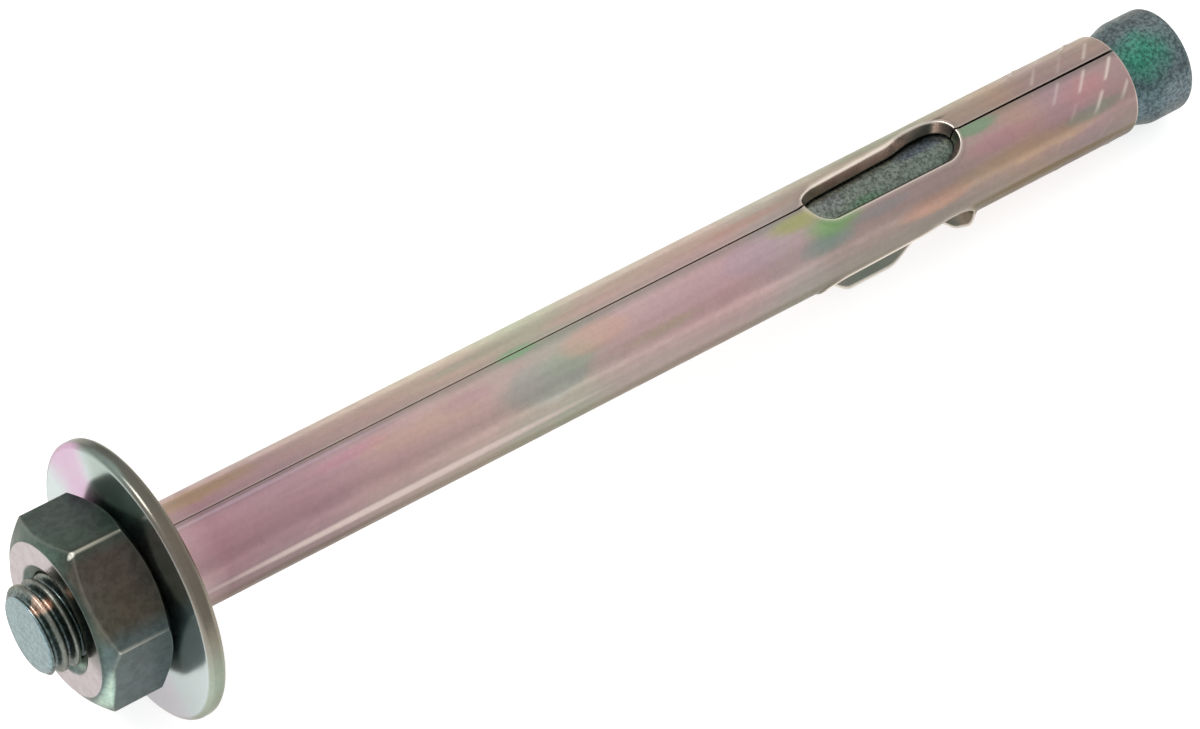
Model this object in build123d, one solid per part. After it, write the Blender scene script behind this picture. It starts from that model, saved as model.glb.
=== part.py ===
from build123d import *
import os
from math import asin, atan2, degrees, hypot, radians, tan

# Sleeve anchor: a stud with a flared expander cone, a rolled split sleeve,
# a large flat washer and a hexagon nut, lying on the rims of washer and cone.
# Millimetres. Stations run along the anchor's axis from the washer's bearing face,
# negative towards the nut and positive towards the cone.

# Sleeve, one sheet rolled round the shank with a lengthwise seam
SLEEVE_DIAMETER = 12.0
SLEEVE_WALL = 0.9
SLEEVE_LENGTH = 128.0
SLEEVE_MOUTH_ROUNDING = 0.3
SEAM_GAP_AT_WASHER = 0.3
SEAM_GAP_AT_MOUTH = 0.55
SEAM_ROLL = 4.0

# Obround windows, punched through the sleeve with the metal raised round them
WINDOW_COUNT = 3
WINDOW_LENGTH = 21.0
WINDOW_WIDTH = 5.6
WINDOW_CENTRE_STATION = 94.5
LIP_WIDTH = 0.7
LIP_HEIGHT = 0.22

# Stud, rolled thread at one end and the expander cone at the other
THREAD_DIAMETER = 10.0
THREAD_PITCH = 1.5
THREAD_LENGTH = 45.0
THREAD_END_CHAMFER = 0.4
STUD_PROJECTION = 3.3
CONE_DIAMETER = 12.4
CONE_HALF_ANGLE = 17.5
CONE_LAND_LENGTH = 4.7
CONE_SHOULDER_ROUNDING = 3.0
CONE_RIM_ROUNDING = 0.9

# Washer
WASHER_DIAMETER = 31.0
WASHER_THICKNESS = 2.0
WASHER_RIM_ROUNDING = 0.7

# Nut
NUT_ACROSS_FLATS = 19.0
NUT_HEIGHT = 8.4
NUT_FACE_DIAMETER = 17.4
NUT_CHAMFER_ANGLE = 30.0
NUT_MOUTH_DIAMETER = 11.4
NUT_MOUTH_HALF_ANGLE = 60.0
NUT_ROLL = 7.8

# Fits, each clearance measured on the radius
THREAD_CLEARANCE = 0.05
WASHER_BORE_CLEARANCE = 0.3
CONE_SEAT_CLEARANCE = 0.1

# Blank of a rolled thread: the shank keeps the pitch diameter of a 60 degree thread
PITCH_DIAMETER_DROP = 0.6495

THREAD_RADIUS = THREAD_DIAMETER / 2
SHANK_RADIUS = (THREAD_DIAMETER - PITCH_DIAMETER_DROP * THREAD_PITCH) / 2
SLEEVE_RADIUS = SLEEVE_DIAMETER / 2
SLEEVE_BORE_RADIUS = SLEEVE_RADIUS - SLEEVE_WALL
CONE_RADIUS = CONE_DIAMETER / 2
CONE_SLOPE = tan(radians(CONE_HALF_ANGLE))
WASHER_RADIUS = WASHER_DIAMETER / 2

NUT_FRONT = -WASHER_THICKNESS - NUT_HEIGHT
STUD_FRONT = NUT_FRONT - STUD_PROJECTION
THREAD_END = STUD_FRONT + THREAD_LENGTH
CONE_SEAT = SLEEVE_LENGTH + CONE_SEAT_CLEARANCE
CONE_START = CONE_SEAT - (SLEEVE_BORE_RADIUS - SHANK_RADIUS) / CONE_SLOPE
CONE_END = CONE_SEAT + (CONE_RADIUS - SLEEVE_BORE_RADIUS) / CONE_SLOPE
STUD_BACK = CONE_END + CONE_LAND_LENGTH


def turned(points):
    """Solid of revolution about the anchor's axis from station and radius pairs."""
    return revolve(make_face(Polyline(*points, close=True)), Axis.X)


def make_stud():
    """Threaded stud with its shank and the flared cone, forged in one piece."""
    outline = [
        (STUD_FRONT, 0),
        (STUD_FRONT, THREAD_RADIUS - THREAD_END_CHAMFER),
        (STUD_FRONT + THREAD_END_CHAMFER, THREAD_RADIUS),
        (THREAD_END, THREAD_RADIUS),
        (THREAD_END + THREAD_PITCH, SHANK_RADIUS),
        (CONE_START, SHANK_RADIUS),
        (CONE_END, CONE_RADIUS),
        (STUD_BACK, CONE_RADIUS),
        (STUD_BACK, 0),
    ]
    profile = make_face(Polyline(*outline, close=True))
    shoulder = profile.vertices().group_by(Axis.Y)[-1].sort_by(Axis.X)[0]
    profile = fillet(shoulder, CONE_SHOULDER_ROUNDING)
    rim = profile.vertices().group_by(Axis.X)[-1].sort_by(Axis.Y)[-1]
    profile = fillet(rim, CONE_RIM_ROUNDING)
    return revolve(profile, Axis.X)


def make_tube(start, end, outer_radius, inner_radius):
    """Plain tube on the axis between two stations."""
    outline = [(start, inner_radius), (start, outer_radius), (end, outer_radius), (end, inner_radius)]
    return turned(outline)


def make_seam_cutter():
    """Wedge of air along the seam, wider at the mouth that the cone has begun to spread."""
    overrun = SLEEVE_WALL
    start = -overrun
    end = SLEEVE_LENGTH + overrun
    outline = [
        (start, -SEAM_GAP_AT_WASHER / 2),
        (end, -SEAM_GAP_AT_MOUTH / 2),
        (end, SEAM_GAP_AT_MOUTH / 2),
        (start, SEAM_GAP_AT_WASHER / 2),
    ]
    return extrude(make_face(Polyline(*outline, close=True)), SLEEVE_RADIUS + overrun)


def make_window_block(margin):
    """Obround bar that stands outwards from the axis, a margin larger than a window."""
    outline = SlotOverall(WINDOW_LENGTH + 2 * margin, WINDOW_WIDTH + 2 * margin)
    block = extrude(outline, SLEEVE_RADIUS + SLEEVE_WALL)
    return Pos(WINDOW_CENTRE_STATION, 0, 0) * block


def make_lip_shell():
    """Thin shell on the sleeve's outside, from which the raised rims are taken."""
    reach = WINDOW_LENGTH / 2 + 2 * LIP_WIDTH
    start = WINDOW_CENTRE_STATION - reach
    end = WINDOW_CENTRE_STATION + reach
    return make_tube(start, end, SLEEVE_RADIUS + LIP_HEIGHT, SLEEVE_RADIUS - SLEEVE_WALL / 2)


def make_sleeve():
    """Rolled sleeve: tube, raised window rims, windows and the open seam."""
    sleeve = make_tube(0, SLEEVE_LENGTH, SLEEVE_RADIUS, SLEEVE_BORE_RADIUS)
    mouth = sleeve.edges().group_by(Axis.X)[-1].sort_by(SortBy.RADIUS)[-1]
    sleeve = fillet(mouth, SLEEVE_MOUTH_ROUNDING)
    rim = make_lip_shell() & make_window_block(LIP_WIDTH)
    window = make_window_block(0)
    for index in range(WINDOW_COUNT):
        turn = Rot(index * 360 / WINDOW_COUNT, 0, 0)
        sleeve = sleeve + turn * rim
        sleeve = sleeve - turn * window
    sleeve = sleeve - make_seam_cutter()
    return Rot(SEAM_ROLL, 0, 0) * sleeve


def make_washer():
    """Flat washer with its stamped rim rounded on both faces."""
    bore_radius = THREAD_RADIUS + WASHER_BORE_CLEARANCE
    outline = [
        (-WASHER_THICKNESS, bore_radius),
        (-WASHER_THICKNESS, WASHER_RADIUS),
        (0, WASHER_RADIUS),
        (0, bore_radius),
    ]
    profile = make_face(Polyline(*outline, close=True))
    rim = profile.vertices().group_by(Axis.Y)[-1]
    return revolve(fillet(rim, WASHER_RIM_ROUNDING), Axis.X)


def make_nut_envelope():
    """Turned envelope of the nut: chamfered faces outside, bore and flared mouths inside."""
    face_radius = NUT_FACE_DIAMETER / 2
    corner_radius = NUT_ACROSS_FLATS
    chamfer_depth = (corner_radius - face_radius) * tan(radians(NUT_CHAMFER_ANGLE))
    bore_radius = THREAD_RADIUS + THREAD_CLEARANCE
    mouth_radius = NUT_MOUTH_DIAMETER / 2
    mouth_depth = (mouth_radius - bore_radius) / tan(radians(NUT_MOUTH_HALF_ANGLE))
    front = NUT_FRONT
    back = -WASHER_THICKNESS
    outline = [
        (front, mouth_radius),
        (front, face_radius),
        (front + chamfer_depth, corner_radius),
        (back - chamfer_depth, corner_radius),
        (back, face_radius),
        (back, mouth_radius),
        (back - mouth_depth, bore_radius),
        (front + mouth_depth, bore_radius),
    ]
    return turned(outline)


def make_nut():
    """Plain hexagon nut with a corner near the top."""
    hexagon = RegularPolygon(NUT_ACROSS_FLATS / 2, 6, major_radius=False)
    bar = extrude(Plane.YZ * Rot(0, 0, 30) * hexagon, -NUT_HEIGHT)
    bar = Pos(-WASHER_THICKNESS, 0, 0) * bar
    nut = bar & make_nut_envelope()
    return Rot(NUT_ROLL, 0, 0) * nut


def rest_tilt():
    """Angle at which the axis falls towards the cone, with washer rim and cone rim on the floor."""
    washer_station = -WASHER_RIM_ROUNDING
    washer_height = WASHER_RADIUS - WASHER_RIM_ROUNDING
    cone_station = STUD_BACK - CONE_RIM_ROUNDING
    cone_height = CONE_RADIUS - CONE_RIM_ROUNDING
    run = cone_station - washer_station
    fall = washer_height - cone_height
    correction = asin((WASHER_RIM_ROUNDING - CONE_RIM_ROUNDING) / hypot(run, fall))
    return degrees(atan2(fall, run) + correction)


def at_rest(pieces):
    """Pieces lying as they come to rest, floor at zero height under the middle of their box."""
    lying = {name: Rot(0, rest_tilt(), 0) * piece for name, piece in pieces.items()}
    box = Compound(list(lying.values())).bounding_box()
    centre = box.center()
    settle = Pos(-centre.X, -centre.Y, -box.min.Z)
    return {name: settle * piece for name, piece in lying.items()}


def main():
    """Build the four pieces and write one file for each."""
    pieces = {
        "expander_stud": make_stud(),
        "expansion_sleeve": make_sleeve(),
        "flat_washer": make_washer(),
        "hex_nut": make_nut(),
    }
    os.makedirs("parts", exist_ok=True)
    for name, piece in at_rest(pieces).items():
        export_step(piece, os.path.join("parts", name + ".step"))


if __name__ == "__main__":
    main()
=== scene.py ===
"""Looks of a sleeve anchor: stud with expander cone, rolled sleeve, washer and nut.

Every piece is a surface worked out with numpy in the anchor's own cylinder coordinates:
a station along the axis in millimetres (zero at the washer's bearing face, growing
towards the cone), a radius in millimetres, and a turn angle in radians (zero at the
top, growing towards the side that the camera sees). AnchorFrame carries them to the
shared frame in metres.
"""
import logging
import math
from dataclasses import dataclass, field
from enum import Enum
from itertools import chain

import bpy
import numpy as np
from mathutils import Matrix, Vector


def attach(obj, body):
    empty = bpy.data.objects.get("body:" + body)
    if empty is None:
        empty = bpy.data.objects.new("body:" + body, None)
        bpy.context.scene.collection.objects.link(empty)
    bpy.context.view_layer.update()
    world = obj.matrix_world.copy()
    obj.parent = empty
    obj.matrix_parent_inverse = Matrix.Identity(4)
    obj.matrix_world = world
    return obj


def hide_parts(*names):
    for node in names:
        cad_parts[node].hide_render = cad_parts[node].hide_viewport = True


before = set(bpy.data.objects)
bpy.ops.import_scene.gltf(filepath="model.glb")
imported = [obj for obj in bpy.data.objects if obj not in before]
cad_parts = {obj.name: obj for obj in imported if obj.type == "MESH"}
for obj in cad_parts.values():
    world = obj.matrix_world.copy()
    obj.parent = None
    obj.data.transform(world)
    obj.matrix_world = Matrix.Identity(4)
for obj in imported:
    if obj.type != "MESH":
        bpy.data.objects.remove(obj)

LOG = logging.getLogger("sleeve_anchor")
FULL_TURN = 2 * math.pi
MM = 0.001
FLOAT = "NodeSocketFloat"
VECTOR = "NodeSocketVector"
NOISE_SPAN = (0.3, 0.7)
Colour = tuple[float, float, float]
Stops = tuple[tuple[float, Colour], ...]
Profile = list[tuple[float, float]]


def srgb(red: int, green: int, blue: int) -> Colour:
    """Linear colour of a display colour whose parts run from 0 to 255."""
    parts = np.array([red, green, blue]) / 255
    linear = np.where(parts <= 0.04045, parts / 12.92, ((parts + 0.055) / 1.055) ** 2.4)
    return tuple(float(part) for part in linear)


def film_stops(*rows: tuple[float, int, int, int]) -> Stops:
    """Ramp stops from rows of a place from 0 to 1 and a display colour."""
    return tuple((place, srgb(*colour)) for place, *colour in rows)


class Blend(Enum):
    """Ways in which one colour is laid over another."""

    MIX = "MIX"
    MULTIPLY = "MULTIPLY"


class Mark(Enum):
    """Shares from 0 to 1 that a mesh carries at its points for its finish to read."""

    # painted highlight: share of pale colour laid on rounded edges, thread crests, lips and strokes
    RUB = "rub"
    BRIGHT = "bright"


# ---------------------------------------------------------------- shapes


@dataclass(frozen=True)
class AnchorFrame:
    """Place of the anchor's axis in the shared frame."""

    origin_mm: tuple[float, float, float] = (-61.1767, 0.0, 15.4178)
    fall_deg: float = 3.9092

    def basis(self) -> tuple[np.ndarray, np.ndarray, np.ndarray]:
        """Unit vectors along the axis, up from it, and towards the seen side."""
        fall = math.radians(self.fall_deg)
        along = np.array([math.cos(fall), 0.0, -math.sin(fall)])
        upward = np.array([math.sin(fall), 0.0, math.cos(fall)])
        seen = np.array([0.0, -1.0, 0.0])
        return along, upward, seen

    def place(self, station: np.ndarray, radius: np.ndarray, turn: np.ndarray) -> np.ndarray:
        """Points in metres: origin plus station along the axis plus radius at the turn.

        Args:
            station: millimetres along the axis.
            radius: millimetres from the axis.
            turn: radians from the top towards the seen side.

        Returns:
            Array of the broadcast shape with a last axis of x, y and z.
        """
        along, upward, seen = self.basis()
        parts = np.broadcast_arrays(station, radius, turn)
        station, radius, turn = (part[..., None] for part in parts)
        outward = np.cos(turn) * upward + np.sin(turn) * seen
        return MM * (np.array(self.origin_mm) + station * along + radius * outward)


@dataclass
class Shell:
    """Gathers grids of points, their marks and their faces, then makes one mesh object."""

    points: list[np.ndarray] = field(default_factory=list)
    marks: dict[Mark, list[np.ndarray]] = field(default_factory=lambda: {mark: [] for mark in Mark})
    faces: list[np.ndarray] = field(default_factory=list)
    count: int = 0

    def add_points(self, points: np.ndarray, marks: dict[Mark, np.ndarray]) -> np.ndarray:
        """Adds points in a block of any shape with their marks, and returns their indices."""
        shape = points.shape[:-1]
        total = int(np.prod(shape))
        self.points.append(points.reshape(-1, 3))
        for mark, blocks in self.marks.items():
            blocks.append(np.broadcast_to(marks.get(mark, 0.0), shape).reshape(-1))
        index = self.count + np.arange(total).reshape(shape)
        self.count += total
        return index

    def add_ring_grid(self, grid: np.ndarray, marks: dict[Mark, np.ndarray]) -> np.ndarray:
        """Adds a grid whose rows follow the station and whose columns close round the turn.

        Args:
            grid: points of shape rows, columns, 3.
            marks: marks of the points, each broadcast to the grid.

        Returns:
            Index of each grid point in the mesh.
        """
        index = self.add_points(grid, marks)
        after = np.roll(index, -1, axis=1)
        quads = np.stack([index[:-1], after[:-1], after[1:], index[1:]], axis=-1)
        self.faces.append(quads.reshape(-1, 4))
        return index

    def close_loop(self, index: np.ndarray) -> None:
        """Joins the last row of a ring grid to its first, which makes a closed ring."""
        first, last = index[0], index[-1]
        self.faces.append(np.stack([last, np.roll(last, -1), np.roll(first, -1), first], axis=-1))

    def add_cap(self, ring: np.ndarray, centre: np.ndarray, front: bool, bright: float) -> None:
        """Closes a ring of indices with triangles to a centre point.

        Args:
            ring: indices round the ring, in the sense of the turn.
            centre: the pole's place.
            front: whether the cap looks back along the axis.
            bright: the pole's bright mark.
        """
        pole = self.add_points(centre.reshape(1, 3), {Mark.BRIGHT: np.array([bright])})[0]
        after = np.roll(ring, -1)
        poles = np.full_like(ring, pole)
        fan = [poles, after, ring] if front else [poles, ring, after]
        self.faces.append(np.stack(fan, axis=-1))

    def make(self, name: str) -> bpy.types.Object:
        """Makes the smooth-shaded object with its marks as point attributes.

        Points that no face uses are left out and the rest are numbered anew.
        """
        points = np.concatenate(self.points)
        used = np.unique(np.concatenate([block.reshape(-1) for block in self.faces]))
        number = np.zeros(len(points), dtype=np.int64)
        number[used] = np.arange(len(used))
        mesh = bpy.data.meshes.new(name)
        faces = chain.from_iterable(number[block].tolist() for block in self.faces)
        mesh.from_pydata(points[used].tolist(), [], list(faces))
        for mark, blocks in self.marks.items():
            layer = mesh.attributes.new(mark.value, "FLOAT", "POINT")
            layer.data.foreach_set("value", np.concatenate(blocks)[used].astype(np.float32))
        mesh.update()
        mesh.shade_smooth()
        piece = bpy.data.objects.new(name, mesh)
        bpy.context.scene.collection.objects.link(piece)
        return piece


def smooth_min(first: np.ndarray, second: np.ndarray, width: float) -> np.ndarray:
    """Lesser of two heights with the crease between them rounded over the width."""
    mix = np.clip(0.5 + 0.5 * (second - first) / width, 0, 1)
    return second * (1 - mix) + first * mix - width * mix * (1 - mix)


def ease(value: np.ndarray) -> np.ndarray:
    """Smooth step from 0 at 0 to 1 at 1, flat outside."""
    held = np.clip(value, 0, 1)
    return held * held * (3 - 2 * held)


def turns(columns: int) -> np.ndarray:
    """Turn angles of a closed ring of columns."""
    return np.arange(columns) * FULL_TURN / columns


def arc(
    centre: tuple[float, float], radius: float, start_deg: float, end_deg: float, steps: int
) -> Profile:
    """Station and radius pairs on a circular arc, the angle measured from the station axis.

    Args:
        centre: station and radius of the arc's centre.
        radius: the arc's radius.
        start_deg: first angle.
        end_deg: last angle.
        steps: number of stretches.

    Returns:
        The pairs, both ends included.
    """
    angles = np.radians(np.linspace(start_deg, end_deg, steps + 1))
    return [(centre[0] + radius * math.cos(a), centre[1] + radius * math.sin(a)) for a in angles]


@dataclass(frozen=True)
class Plateau:
    """Stretch over which a share eases up from 0 to 1 and down again."""

    start: float
    rise: float
    end: float
    fall: float

    def share(self, value: np.ndarray) -> np.ndarray:
        """Share at a value: 0 up to the start, 1 past the rise, 0 again from the end."""
        return ease((value - self.start) / self.rise) * ease((self.end - value) / self.fall)


@dataclass(frozen=True)
class Thread:
    """Right-handed rolled thread shared by stud and nut."""

    crest_radius: float = 4.97
    depth: float = 0.90
    pitch: float = 1.5
    phase: float = 0.35
    crest_share: float = 0.20
    root_share: float = 0.12

    def groove(self, station: np.ndarray, turn: np.ndarray) -> np.ndarray:
        """Share of the thread's depth cut away: 0 on a crest, 1 in a root.

        The station counted in pitches less the turn counted in turns gives the place
        within a pitch. Two flanks, about 60 degrees apart, join the flat shares of the
        pitch at crest and root, with both corners eased.
        """
        place = station / self.pitch - turn / FULL_TURN + self.phase
        away = np.abs(place - np.floor(place) - 0.5) * 2
        crest_from = 1 - self.crest_share
        return ease((crest_from - away) / (crest_from - self.root_share))


@dataclass
class Stud:
    """Forged stud: thread, shank and flared expander cone in one surface."""

    place: AnchorFrame
    thread: Thread
    front: float = -13.7
    face_radius: float = 4.25
    thread_end: float = 31.3
    shank_radius: float = 4.513
    cone_start: float = 126.24
    cone_end: float = 131.59
    cone_radius: float = 6.2
    back: float = 136.29
    shoulder_rounding: float = 3.0
    rim_rounding: float = 0.9
    chamfer_rounding: float = 0.12
    shank_from: float = 40.0
    foot_length: float = 0.8
    foot_steps: tuple[tuple[float, float], ...] = ((-0.4, 0.01), (0.3, 0.11))
    front_rings: tuple[float, ...] = (0.9, 2.0, 3.1, 3.95)
    back_rings: tuple[float, ...] = (4.9, 3.6, 2.2, 0.9)
    bright_depth: float = 0.25
    bright_fade: float = 0.2
    highlight_above: float = 0.375
    columns: int = 144
    rows_per_pitch: int = 14
    shank_rows: int = 50

    def threaded_rows(self) -> tuple[np.ndarray, np.ndarray]:
        """Stations and radii of the threaded end, a height over the grid of station and turn.

        The radius is the crest less the groove, or the chamfer's 45 degree cone where
        that is smaller. Over the pitch after the thread's end the crest falls to the
        shank and the groove dies out.
        """
        thread = self.thread
        last = self.thread_end + thread.pitch
        rows = int((last - self.front) / thread.pitch * self.rows_per_pitch)
        station = np.linspace(self.front, last, rows)[:, None]
        turn = turns(self.columns)[None, :]
        run_out = 1 - ease((station - self.thread_end) / thread.pitch)
        crest = self.shank_radius + (thread.crest_radius - self.shank_radius) * run_out
        cut = thread.depth * thread.groove(station, turn) * run_out
        chamfer = self.face_radius + (station - self.front) + 0 * turn
        return station + 0 * turn, smooth_min(crest - cut, chamfer, self.chamfer_rounding)

    def plain_profile(self) -> Profile:
        """Profile from the shank to the middle of the back face, all edges rounded."""
        shank_radius, cone_start = self.shank_radius, self.cone_start
        slope = math.atan2(self.cone_radius - shank_radius, self.cone_end - cone_start)
        tangent = self.shoulder_rounding * math.tan(slope / 2)
        centre = (self.cone_end + tangent, self.cone_radius - self.shoulder_rounding)
        foot_start = cone_start - self.foot_length
        shank = np.linspace(self.shank_from, foot_start, self.shank_rows)
        shank = [(s, shank_radius) for s in shank]
        foot = [(cone_start + s, shank_radius + r) for s, r in self.foot_steps]
        shoulder = arc(centre, self.shoulder_rounding, 90 + math.degrees(slope), 90, 8)
        rim_centre = (self.back - self.rim_rounding, self.cone_radius - self.rim_rounding)
        land = np.linspace(centre[0] + 0.4, rim_centre[0] - 0.2, 5)
        rim = arc(rim_centre, self.rim_rounding, 90, 0, 10)
        face = [(self.back, r) for r in self.back_rings]
        return shank + foot + shoulder + [(s, self.cone_radius) for s in land] + rim + face

    def pole(self, station: float) -> np.ndarray:
        """Place of the axis point at a station."""
        return self.place.place(np.array(station), np.array(0.0), np.array(0.0))

    def build(self) -> bpy.types.Object:
        """Makes the stud as one closed surface with a pole at each end."""
        turn = turns(self.columns)[None, :]
        face_radius = np.array(self.front_rings)[:, None] + 0 * turn
        thread_station, thread_radius = self.threaded_rows()
        tail = np.array(self.plain_profile())
        station = [self.front + 0 * face_radius, thread_station, tail[:, :1] + 0 * turn]
        station = np.concatenate(station)
        radius = np.concatenate([face_radius, thread_radius, tail[:, 1:] + 0 * turn])
        # painted highlight on the thread's crests: paler the nearer a point stands to the crest
        above_root = (radius - self.thread.crest_radius) / self.thread.depth + 1
        highlight_level = ease((above_root - self.highlight_above) / (1 - self.highlight_above))
        crest = np.where(station < self.thread_end, highlight_level, 0)
        bright = ease((self.front + self.bright_depth - station) / self.bright_fade)
        shell = Shell()
        grid = self.place.place(station, radius, turn)
        index = shell.add_ring_grid(grid, {Mark.RUB: crest, Mark.BRIGHT: bright})
        shell.add_cap(index[0], self.pole(self.front), True, 1.0)
        shell.add_cap(index[-1], self.pole(self.back), False, 0.0)
        return shell.make("stud_body")


@dataclass
class Nut:
    """Hexagon nut with chamfered faces, flared mouths and an internal thread."""

    place: AnchorFrame
    thread: Thread
    front: float = -10.4
    back: float = -2.0
    half_flats: float = 9.5
    face_radius: float = 8.55
    mouth_radius: float = 6.1
    thread_clearance: float = 0.08
    corner_turn_deg: float = 7.8
    chamfer_deg: float = 30.0
    mouth_half_deg: float = 60.0
    edge_rounding: float = 0.22
    mouth_rounding: float = 0.10
    corner_flat_deg: float = 0.5
    corner_fade_deg: float = 0.9
    corner_crowding: float = 2.1
    crease_flat: float = 0.05
    crease_fade: float = 0.3
    crease_highlight: float = 0.12
    edge_highlight: float = 0.6
    highlight_mean: float = 0.65
    highlight_swing: float = 0.35
    highlight_lost_behind: float = 0.55
    face_depth: float = 0.05
    mouth_fade: float = 0.2
    face_shares: tuple[float, ...] = (0.03, 0.15, 0.35, 0.6, 0.85, 0.97)
    columns_per_side: int = 40
    end_band: float = 1.9
    end_rows: int = 30
    middle_rows: int = 10
    bore_rows: int = 84

    def turn_columns(self) -> np.ndarray:
        """Turn angles crowded towards the six corners."""
        share = np.linspace(-1, 1, self.columns_per_side + 1)[:-1]
        within = 30 * np.sign(share) * np.abs(share) ** self.corner_crowding
        corners = self.corner_turn_deg + 60 * np.arange(6)
        return np.radians((corners[:, None] + within[None, :]).reshape(-1))[None, :]

    def hexagon(self, turn: np.ndarray) -> np.ndarray:
        """Distance from the axis to the flats at each turn, the corners rounded."""
        off_flat = turn - math.radians(self.corner_turn_deg + 30)
        facing = (np.abs(np.cos(off_flat - k * math.pi / 3)) for k in range(3))
        first, second, third = (self.half_flats / np.maximum(cosine, 0.05) for cosine in facing)
        rounding = self.edge_rounding
        return smooth_min(smooth_min(first, second, rounding), third, rounding)

    def corner_share(self, turn: np.ndarray) -> np.ndarray:
        """Closeness to a corner: 1 on the rounded edge between two flats, 0 off it."""
        off = np.degrees(turn) - self.corner_turn_deg
        away = np.abs(off - 60 * np.round(off / 60))
        return 1 - ease((away - self.corner_flat_deg) / self.corner_fade_deg)

    def outside(self, turn: np.ndarray) -> tuple[np.ndarray, np.ndarray, np.ndarray]:
        """Outer wall: the lesser of the hexagon and the chamfer's cone from each face.

        The creases between flats and chamfers get a little painted highlight. The edges between
        the flats get more, each to its own strength and less towards the back, and the tips
        where they meet the chamfer get most, as a painted glint.

        Args:
            turn: the columns.

        Returns:
            Station, radius and the share of rubbed edge.
        """
        tall = self.back - self.front
        near = np.linspace(0, self.end_band, self.end_rows)
        middle = np.linspace(self.end_band, tall - self.end_band, self.middle_rows)[1:-1]
        depth = np.concatenate([near, middle, tall - near[::-1]])[:, None]
        station = self.front + depth + 0 * turn
        flare = 1 / math.tan(math.radians(self.chamfer_deg))
        hexagon = self.hexagon(turn) + 0 * station
        from_front = self.face_radius + (station - self.front) * flare
        from_back = self.face_radius + (self.back - station) * flare
        ends = np.minimum(from_front, from_back)
        radius = smooth_min(hexagon, from_front, self.edge_rounding)
        radius = smooth_min(radius, from_back, self.edge_rounding)
        crease = 1 - ease((np.abs(hexagon - ends) - self.crease_flat) / self.crease_fade)
        number = np.round((np.degrees(turn) - self.corner_turn_deg) / 60)
        # painted highlight along the edges between flats: stronger on some corners, weaker towards
        # the back
        mark_weight = self.highlight_mean + self.highlight_swing * np.cos(2 * number)
        mark_weight = mark_weight * (1 - self.highlight_lost_behind * ease((station - self.front - 2) / 5))
        mark_weight = mark_weight * self.corner_share(turn)
        edge = self.edge_highlight * mark_weight * ease((ends - hexagon + 0.2) / 0.2)
        # painted glint where an edge meets the chamfer
        tip = mark_weight * ease((crease - 0.3) / 0.5)
        return station, radius, np.maximum(np.maximum(self.crease_highlight * crease, edge), tip)

    def inside(self, turn: np.ndarray) -> tuple[np.ndarray, np.ndarray]:
        """Bore: the stud's thread grown by the clearance, opened by a flare at each mouth."""
        station = np.linspace(self.back, self.front, self.bore_rows)[:, None] + 0 * turn
        crest = self.thread.crest_radius + self.thread_clearance
        threaded = crest - self.thread.depth * self.thread.groove(station, turn)
        from_face = np.minimum(self.back - station, station - self.front)
        flare = self.mouth_radius - from_face * math.tan(math.radians(self.mouth_half_deg))
        return station, -smooth_min(-threaded, -flare, self.mouth_rounding)

    def build(self) -> bpy.types.Object:
        """Makes the nut as one ring-shaped surface closed on itself."""
        turn = self.turn_columns()
        outer_station, outer_radius, rub = self.outside(turn)
        inner_station, inner_radius = self.inside(turn)
        shares = np.array(self.face_shares)[:, None]
        back_radius = outer_radius[-1:] + (inner_radius[:1] - outer_radius[-1:]) * shares
        front_radius = inner_radius[-1:] + (outer_radius[:1] - inner_radius[-1:]) * shares
        back_station, front_station = self.back + 0 * back_radius, self.front + 0 * front_radius
        station = np.concatenate([outer_station, back_station, inner_station, front_station])
        radius = np.concatenate([outer_radius, back_radius, inner_radius, front_radius])
        rub = np.concatenate([rub, np.zeros((len(radius) - len(rub), rub.shape[1]))])
        on_face = ease((self.front - station) / self.face_depth + 1)
        bright = on_face * ease((radius - self.mouth_radius) / self.mouth_fade + 0.5)
        shell = Shell()
        grid = self.place.place(station, radius, turn)
        shell.close_loop(shell.add_ring_grid(grid, {Mark.RUB: rub, Mark.BRIGHT: bright}))
        return shell.make("nut_body")


@dataclass
class Washer:
    """Stamped flat washer, edges drawn round on both faces."""

    place: AnchorFrame
    front: float = -2.0
    back: float = 0.0
    bore_radius: float = 5.3
    rim_radius: float = 15.5
    rim_rounding: float = 0.7
    bore_rounding: float = 0.25
    columns: int = 360

    def profile(self) -> np.ndarray:
        """Closed loop of station and radius round the washer's section."""
        big, small = self.rim_rounding, self.bore_rounding
        outer = self.rim_radius - big
        inner = self.bore_radius + small
        loop = arc((self.front + big, outer), big, 180, 90, 12)
        loop += arc((self.back - big, outer), big, 90, 0, 12)
        loop += [(self.back, r) for r in np.linspace(outer, inner, 12)[1:-1]]
        loop += arc((self.back - small, inner), small, 0, -90, 4)
        loop += arc((self.front + small, inner), small, -90, -180, 4)
        loop += [(self.front, r) for r in np.linspace(inner, outer, 12)[1:-1]]
        return np.array(loop)

    def build(self) -> bpy.types.Object:
        """Makes the washer by carrying its section round the axis."""
        loop = self.profile()
        station, radius = loop[:, :1], loop[:, 1:]
        over_rim = radius - self.rim_radius + self.rim_rounding
        flat = 1 - ease(over_rim / (0.5 * self.rim_rounding))
        shell = Shell()
        grid = self.place.place(station, radius, turns(self.columns)[None, :])
        shell.close_loop(shell.add_ring_grid(grid, {Mark.BRIGHT: flat}))
        return shell.make("washer_body")


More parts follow.
